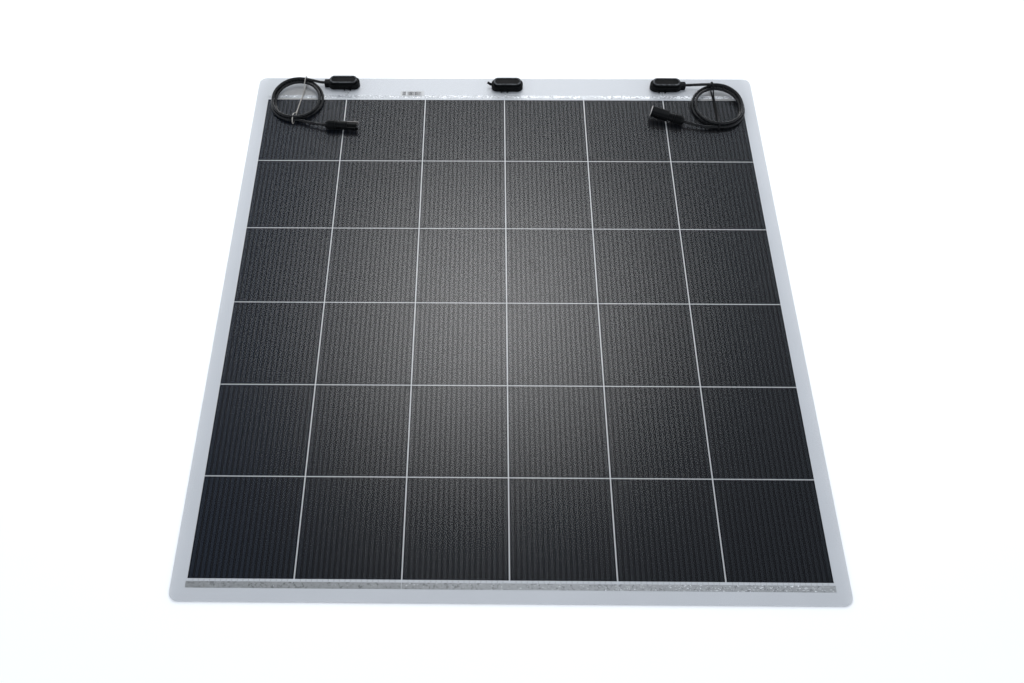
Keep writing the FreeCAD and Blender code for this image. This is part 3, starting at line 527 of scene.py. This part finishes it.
class Builder:
    """Collects vertices and faces for one piece."""

    def __init__(self):
        self.vertices = []
        self.faces = []

    def loft(self, loops, closed=True, ends=True):
        """Joins loops of equal length by quads, and closes both ends."""
        start, count = len(self.vertices), len(loops[0])
        for loop in loops:
            self.vertices += loop
        steps = count if closed else count - 1
        for i in range(len(loops) - 1):
            for j in range(steps):
                a, b = start + i * count + j, start + i * count + (j + 1) % count
                self.faces.append((a, b, b + count, a + count))
        if ends:
            self.faces.append(tuple(start + j for j in reversed(range(count))))
            self.faces.append(tuple(start + (len(loops) - 1) * count + j for j in range(count)))

    def box_run(self, x_low, x_high, stations, z_low, z_high):
        """A long thin box along Y, cut at each station so that it can bend."""
        self.loft([[(x_low, y, z_low), (x_low, y, z_high), (x_high, y, z_high), (x_high, y, z_low)]
                   for y in stations])

    def make(self, name, material, **options):
        """The piece itself."""
        return mesh_object(name, self.vertices, self.faces, material, **options)


def steps_between(low, high, count):
    """Evenly spaced values, both ends included."""
    return [low + (high - low) * i / count for i in range(count + 1)]


def half_width(y):
    """The sheet's half width at a place along Y, less at its round corners."""
    past = max(y - (SHEET_HIGH.y - CORNER), (SHEET_LOW.y + CORNER) - y, 0.0)
    return SHEET_HIGH.x - CORNER + math.sqrt(max(CORNER ** 2 - past ** 2, 0.0))


ZONE_STEPS, CELL_STEPS = 14, 8  # cuts along Y in a zone, and in a run of cell
CORNER_STEPS = (0, 14, 28, 42, 56, 70)  # degrees round a corner of the sheet


def zone_span(zone):
    """The far and near ends of a zone: a row's middle, or the sheet's own edge."""
    far = SHEET_HIGH.y if zone == 0 else CELL_MIDDLES_Y[zone]
    near = SHEET_LOW.y if zone == LAST_ZONE else CELL_MIDDLES_Y[zone + 1]
    return far, near


def zone_stations(zone):
    """Where a zone's mesh is cut along Y: close together at round corners, even between."""
    far, near = zone_span(zone)
    insets = [CORNER * (1 - math.cos(math.radians(turn))) for turn in CORNER_STEPS]
    if zone == 0:
        return [far - inset for inset in insets] + steps_between(far - CORNER, near, ZONE_STEPS)
    if zone == LAST_ZONE:
        return steps_between(far, near + CORNER, ZONE_STEPS) + [near + inset for inset in reversed(insets)]
    return steps_between(far, near, ZONE_STEPS)


# ------------------------------------------------------------------ laminate
EDGE = 0.25 * MM  # how far the sheet's and the film's edges are rounded
CUTS_PER_WIRE = 6  # across the film
BULGE, DIP = 0.03 * MM, 0.02 * MM  # the film's rise over each wire, and its fall between the cells


def make_back_sheet(zone, material):
    """The stiff white sheet of one zone."""
    low, high = SHEET_LOW.z, SHEET_HIGH.z
    loops = []
    for y in zone_stations(zone):
        w = half_width(y)
        ring = [(-w, low + EDGE), (-w, high - EDGE), (-w + EDGE, high), (w - EDGE, high),
                (w, high - EDGE), (w, low + EDGE), (w - EDGE, low), (-w + EDGE, low)]
        loops.append([(x, y, z) for x, z in ring])
    builder = Builder()
    builder.loft(loops)
    return builder.make(f"back_sheet_zone_{zone + 1}", material)


def film_columns():
    """Where the film's mesh is cut along X, over the cells."""
    reach = CELL_REACH + 1 * MM
    return steps_between(-reach, reach, EACH_WAY * WIRES * CUTS_PER_WIRE)


def film_rise(x, y):
    """How far the film bulges over the wires, or dips between the cells."""
    across = min((x - middle for middle in CELL_MIDDLES_X), key=abs)
    along_row = min((y - middle for middle in CELL_MIDDLES_Y), key=abs)
    if abs(across) > CELL_WIDTH / 2 or abs(along_row) > CELL_LENGTH / 2:
        return -DIP
    phase = (across + (WIRES - 1) / 2 * WIRE_PITCH) / WIRE_PITCH
    return BULGE * math.cos(2 * math.pi * phase)


def make_film(zone, material):
    """The clear film of one zone, turned down at the sheet's own edges."""
    columns = film_columns()
    base = SHEET_HIGH.z + 0.05 * MM
    loops = []
    for y in zone_stations(zone):
        w = half_width(y)
        side = [(-w, base), (-w, FILM_TOP - EDGE), (-w + EDGE, FILM_TOP)]
        top = [(x, FILM_TOP + film_rise(x, y)) for x in columns]
        loops.append([(x, y, z) for x, z in side + top + [(-x, z) for x, z in reversed(side)]])
    if zone == 0:
        loops.insert(0, [(x, y, base) for x, y, _ in loops[0]])
    if zone == LAST_ZONE:
        loops.append([(x, y, base) for x, y, _ in loops[-1]])
    builder = Builder()
    builder.loft(loops, closed=False, ends=False)
    return builder.make(f"film_zone_{zone + 1}", material, split=60)


def zone_cells(zone):
    """The far and near ends of each run of cell inside a zone."""
    far, near = zone_span(zone)
    runs = []
    for middle in CELL_MIDDLES_Y[zone:zone + 2]:
        top, bottom = min(middle + CELL_LENGTH / 2, far), max(middle - CELL_LENGTH / 2, near)
        runs.append((top, bottom))
    return runs


def make_cells(zone, material):
    """The cells of one zone, cut along Y."""
    builder = Builder()
    for middle in CELL_MIDDLES_X:
        for top, bottom in zone_cells(zone):
            builder.box_run(middle - CELL_WIDTH / 2, middle + CELL_WIDTH / 2,
                            steps_between(top, bottom, CELL_STEPS), CELL_LOW + 0.02 * MM, CELL_TOP)
    return builder.make(f"cells_zone_{zone + 1}", material, smooth=False)


def make_wires(zone, material):
    """The wires of one zone. The outermost ends run on to the ribbons."""
    builder = Builder()
    ribbon_far, ribbon_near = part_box("top_bus_ribbons")[0].y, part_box("low_bus_ribbons")[1].y
    for middle in CELL_MIDDLES_X:
        for wire in range(WIRES):
            x = middle + (wire - (WIRES - 1) / 2) * WIRE_PITCH
            for top, bottom in zone_cells(zone):
                start = ribbon_far + 2 * MM if top == CELL_FAR else top - 1 * MM
                near_end = zone == LAST_ZONE and bottom < CELL_MIDDLES_Y[-1]
                end = ribbon_near - 2 * MM if near_end else bottom + 1 * MM
                builder.box_run(x - WIRE_WIDTH / 2, x + WIRE_WIDTH / 2,
                                steps_between(start, end, CELL_STEPS), CELL_TOP, CELL_TOP + WIRE_THICK)
    return builder.make(f"cell_wires_zone_{zone + 1}", material, smooth=False)


def make_laminate():
    """The five zones, each across one hinge line."""
    layers = [(make_back_sheet, white_sheet_material(), ("back_sheet",), "back_sheet"),
              (make_cells, cell_material(), ("cells",), "cells"),
              (make_wires, wire_material(), ("cell_wires",), "cell_wires"),
              (make_film, film_material(), ("front_film", "encapsulant"), "front_film")]
    for zone in range(LAST_ZONE + 1):
        for make, material, nodes, slot in layers:
            piece = make(zone, material)
            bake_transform(piece)
            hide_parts(*(f"{node}_{row}" for node in nodes for row in (zone + 1, zone + 2)))


# ------------------------------------------------------------------ leads
CABLE = 6 * MM
POINTS_PER_TURN = 24
CORD_RESOLUTION, STRAP_RESOLUTION = 6, 8  # steps between control points
WHOLE_TURNS = 2  # in each coil, and then on to where the run out starts
LEFT_COIL, RIGHT_COIL = Vector((-0.439, 0.478)), Vector((0.448, 0.4625))
SOCKET_BACK, SOCKET_TURN, SOCKET_TILT = Vector((-0.3715, 0.409, 0.0125)), -2.4, 0.0
PLUG_BACK, PLUG_TURN, PLUG_TILT = Vector((0.3705, 0.421, 0.0125)), 162.0, 5.8
LEFT_RUN_IN = [(-0.3745, 0.5302, 0.0100), (-0.3910, 0.5302, 0.0102), (-0.4085, 0.5330, 0.0132),
               (-0.4255, 0.5345, 0.0165)]
RIGHT_RUN_IN = [(0.3756, 0.5254, 0.0100), (0.3918, 0.5254, 0.0102), (0.4095, 0.5244, 0.0126),
                (0.4260, 0.5220, 0.0160), (0.4400, 0.5194, 0.0185)]
LEFT_RUN_OUT = [(-0.4295, 0.4249, 0.0092), (-0.4160, 0.4202, 0.0095), (-0.4020, 0.4156, 0.0103),
                (-0.3910, 0.4123, 0.0112)]
RIGHT_RUN_OUT = [(0.4360, 0.4095, 0.0092), (0.4215, 0.4089, 0.0092), (0.4065, 0.4106, 0.0097),
                 (0.3915, 0.4143, 0.0107)]
ENTRY_BEFORE, ENTRY_AFTER = 6.0 * MM, 7.5 * MM  # the cord's last two points, along the connector
LEFT_TIE_SIZE, RIGHT_TIE_SIZE = (1.7 * MM, 0.6 * MM), (3.0 * MM, 0.9 * MM)  # width and thickness

# How each coil's turns lie: turns from the start, and the radius and height of the cable's
# middle there, in millimetres. The turns pass beside and over each other a diameter apart.
LEFT_TURNS = [(0, 53.7, 12.6), (0.29, 50.6, 13.0), (0.57, 48.3, 13.3), (0.79, 47.5, 11.5), (1.0, 47.6, 8.0),
              (1.29, 46.2, 6.3), (1.57, 46.0, 6.3), (1.79, 53.6, 6.4), (2.0, 55.3, 6.3), (2.29, 52.8, 6.6),
              (2.57, 53.9, 9.2)]
RIGHT_TURNS = [(0, 52.5, 14.0), (0.28, 49.0, 13.4), (0.56, 47.8, 13.4), (0.78, 47.0, 10.5), (1.0, 46.8, 6.9),
               (1.28, 46.4, 6.3), (1.56, 46.2, 6.3), (1.78, 53.0, 6.4), (2.0, 55.0, 6.4), (2.28, 53.0, 6.6),
               (2.56, 54.3, 9.2)]
LEFT_SPRING, RIGHT_SPRING = (4.5, 4.0), (5.0, 4.5)  # how far the coil's far side springs out and up


def axis_of(turn, tilt):
    """A connector's axis, from its turn about +Z and its tilt upwards, in degrees."""
    turn, tilt = math.radians(turn), math.radians(tilt)
    return Vector((math.cos(tilt) * math.cos(turn), math.cos(tilt) * math.sin(turn), math.sin(tilt)))


def entry_points(back, turn, tilt):
    """The last two points of a lead: before the connector's cable end, and inside it."""
    return [back + axis_of(turn, tilt) * distance for distance in (-ENTRY_BEFORE, ENTRY_AFTER)]


def read_table(table, at):
    """The radius and height at a place in a coil's table."""
    for (a, *low), (b, *high) in zip(table, table[1:]):
        if at <= b:
            share = (at - a) / (b - a)
            return [p + (q - p) * share for p, q in zip(low, high)]
    return table[-1][1:]


def coil_points(table, spring, middle, first, last, way):
    """The points of a coil's turns, between the run in's last point and the run out's first.
    The far side, where the angle's sine is above 0, springs out and up."""
    start = math.atan2(first[1] - middle.y, first[0] - middle.x)
    end = math.atan2(last[1] - middle.y, last[0] - middle.x)
    full = 2 * math.pi
    turn = (way * (end - start)) % full + WHOLE_TURNS * full
    count = round(turn / full * POINTS_PER_TURN)
    points = []
    for i in range(1, count):
        radius, height = read_table(table, i / count * table[-1][0])
        angle = start + way * turn * i / count
        far = max(0.0, math.sin(angle))
        radius, height = (radius + spring[0] * far) * MM, (height + spring[1] * far) * MM
        points.append((middle.x + radius * math.cos(angle), middle.y + radius * math.sin(angle), height))
    return points


def nurbs_curve(name, points, resolution, closed=False):
    """A smooth curve through a route of control points."""
    curve = bpy.data.curves.new(name, "CURVE")
    curve.dimensions = "3D"
    spline = curve.splines.new("NURBS")
    spline.points.add(len(points) - 1)
    for point, place in zip(spline.points, points):
        point.co = (*place, 1)
    spline.order_u = 3
    spline.use_cyclic_u = closed
    spline.use_endpoint_u = not closed
    spline.resolution_u = resolution
    return curve


def cord_curve(name, points, radius, material):
    """A smooth round cord along a route."""
    curve = nurbs_curve(name, points, CORD_RESOLUTION)
    curve.bevel_depth = radius
    curve.bevel_resolution = 5
    curve.materials.append(material)
    cord = bpy.data.objects.new(name, curve)
    bpy.context.scene.collection.objects.link(cord)
    return cord


def curve_points(points, resolution, closed=False):
    """The points of the smooth line along a route."""
    holder = bpy.data.objects.new("route", nurbs_curve("route", points, resolution, closed))
    line = [v.co.copy() for v in bpy.data.meshes.new_from_object(holder).vertices]
    bpy.data.objects.remove(holder)
    return line


STRAP_SECTION = ((-1, -0.6), (-1, 0.6), (-0.8, 1), (0.8, 1), (1, 0.6), (1, -0.6), (0.8, -1), (-0.8, -1))


def make_strap(name, route, width, thick, material):
    """A flat closed strap along a route that lies in one upright plane, more or less."""
    line = curve_points(route, STRAP_RESOLUTION, closed=True)
    flat = (Vector(route[len(route) // 2]) - Vector(route[0])).cross(Vector((0, 0, 1))).normalized()
    loops = []
    for i, point in enumerate(line):
        tangent = (line[(i + 1) % len(line)] - line[i - 1]).normalized()
        across = (flat - tangent * flat.dot(tangent)).normalized()
        out = tangent.cross(across)
        loops.append([point + across * (a * width / 2) + out * (b * thick / 2) for a, b in STRAP_SECTION])
    builder = Builder()
    builder.loft(loops + [loops[0]], ends=False)
    return builder.make(name, material, split=50)


# Each tie's route in millimetres: over the far bundle, down to the sheet inside the coil,
# over the near bundle, and back under both.
LEFT_TIE = [(-423.5, 541.0, 10.0), (-423.7, 541.2, 19.0), (-425.0, 531.5, 21.0), (-426.5, 521.5, 15.5),
            (-427.5, 514.0, 7.5), (-430.5, 495.0, 3.9), (-434.0, 480.0, 3.8), (-436.0, 464.0, 4.0),
            (-437.4, 450.0, 6.2), (-437.8, 441.5, 12.0), (-441.2, 438.5, 14.8), (-442.0, 429.0, 15.6),
            (-442.2, 419.5, 12.5), (-442.0, 417.2, 6.0), (-441.0, 420.0, 3.1), (-439.0, 440.0, 2.9),
            (-434.0, 480.0, 2.9), (-425.5, 520.0, 2.95), (-423.5, 540.5, 3.6)]
RIGHT_TIE = [(439.5, 527.0, 12.0), (439.6, 526.5, 20.5), (440.2, 517.0, 23.0), (441.3, 506.0, 17.5),
             (442.5, 498.0, 8.0), (444.0, 482.0, 5.2), (445.6, 466.0, 4.6), (445.8, 448.0, 5.0),
             (444.6, 430.0, 10.5), (443.2, 420.0, 15.2), (442.4, 409.5, 15.6), (442.0, 403.2, 9.0),
             (442.0, 403.8, 3.6), (442.5, 430.0, 2.9), (443.0, 470.0, 2.9), (441.0, 512.0, 2.95),
             (439.6, 526.5, 4.0)]


def in_metres(route):
    """A route in millimetres as vectors in metres."""
    return [Vector(point) * MM for point in route]


def make_lead(side, points, material):
    """One lead, as a round cord along its points."""
    lead = cord_curve(f"{side}_lead", points, CABLE / 2, material)
    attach(lead, "row_1")
    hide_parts(*(f"{side}_lead_{part}" for part in ("start", "coil", "end")))
    line = curve_points(points, CORD_RESOLUTION)


def make_leads():
    """Both leads and their ties."""
    jacket = plastic_material("cable_jacket", (0.0032, 0.0036, 0.0042), 0.25, grain=1400, depth=0.00008,
                              shine=0.2)
    left_tie = make_strap("left_tie_strap", in_metres(LEFT_TIE), *LEFT_TIE_SIZE,
                          plastic_material("grey_tie", (0.27, 0.256, 0.236), 0.45, shine=0.3))
    right_tie = make_strap("right_tie_strap", in_metres(RIGHT_TIE), *RIGHT_TIE_SIZE,
                           plastic_material("black_tie", (0.005, 0.005, 0.0055), 0.4))
    for tie, side, slot in ((left_tie, "left", "grey_tie"), (right_tie, "right", "black_tie")):
        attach(tie, "row_1")
        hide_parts(f"{side}_tie")
    left_coil = coil_points(LEFT_TURNS, LEFT_SPRING, LEFT_COIL, LEFT_RUN_IN[-1], LEFT_RUN_OUT[0], 1)
    right_coil = coil_points(RIGHT_TURNS, RIGHT_SPRING, RIGHT_COIL, RIGHT_RUN_IN[-1], RIGHT_RUN_OUT[0], -1)
    socket_entry = entry_points(SOCKET_BACK, SOCKET_TURN, SOCKET_TILT)
    plug_entry = entry_points(PLUG_BACK, PLUG_TURN, PLUG_TILT)
    make_lead("left", LEFT_RUN_IN + left_coil + LEFT_RUN_OUT + socket_entry, jacket)
    make_lead("right", RIGHT_RUN_IN + right_coil + RIGHT_RUN_OUT + plug_entry, jacket)


# ------------------------------------------------------------------ carried-over parts and floor
SHARP_PAST = 32  # degrees between two faces


def dress(node, material):
    """Gives a CAD node its material and smooth shading on its curved faces."""
    piece = frame["nodes"][node]
    piece.data.materials.clear()
    piece.data.materials.append(material)
    piece.data.polygons.foreach_set("use_smooth", [True] * len(piece.data.polygons))
    weld = piece.modifiers.new("weld", "WELD")
    weld.merge_threshold = SAME_PLACE
    split = piece.modifiers.new("sharp_edges", "EDGE_SPLIT")
    split.split_angle = math.radians(SHARP_PAST)


def dress_parts():
    """Every CAD node that stays, with its material."""
    box = plastic_material("box_plastic", (0.0022, 0.0025, 0.0028), 0.36, grain=700, depth=0.0002)
    lid = lid_material()
    connector = plastic_material("connector_plastic", (0.0024, 0.0027, 0.0030), 0.36, grain=800,
                                 depth=0.00015)
    rubber = plastic_material("moulded_rubber", (0.006, 0.006, 0.0065), 0.5, grain=1200)
    silicone = plastic_material("cured_silicone", (0.55, 0.57, 0.58), 0.45, grain=300, shine=0.3)
    tinned = metal_material("tinned_metal", (0.78, 0.78, 0.76), 0.22)
    copper = metal_material("rolled_copper", (0.72, 0.45, 0.32), 0.3)
    chosen = {"serial_label": label_material(), "blind_plug": rubber, "cable_seals": rubber,
              "box_silicone": silicone, "terminal_rails": copper,
              "bypass_diodes": plastic_material("diode_body", (0.02, 0.02, 0.022), 0.4),
              "socket_contact": tinned, "plug_pin": tinned,
              "top_bus_ribbons": ribbon_material(), "low_bus_ribbons": ribbon_material()}
    for side in ("left", "middle", "right"):
        chosen[f"{side}_box_base"] = box
        chosen[f"{side}_box_lid"] = lid
    for node in ("socket_housing", "socket_nut", "near_latch", "plug_nut"):
        chosen[node] = connector
    # Painted highlight: the far latch is coloured paler than the near one, as if lit.
    chosen["far_latch"] = plastic_material("latch_painted_highlight", (0.115, 0.108, 0.104), 0.4, shine=0.3)
    chosen["plug_housing"] = mouth_material()
    for node, material in chosen.items():
        dress(node, material)


FLOOR_HALF, FLOOR_DROP = 6.0, 0.3 * MM  # its half width, and how far it lies below the sheet


def make_floor():
    """The plain floor that the sheet lies on."""
    half, drop = FLOOR_HALF, -FLOOR_DROP
    corners = [(-half, -half, drop), (half, -half, drop), (half, half, drop), (-half, half, drop)]
    mesh_object("floor", corners, [(0, 1, 2, 3)], floor_material())


bpy.context.scene.view_settings.view_transform = "Standard"
make_camera()
make_leads()
make_world()
make_lights()
make_floor()
make_laminate()
dress_parts()
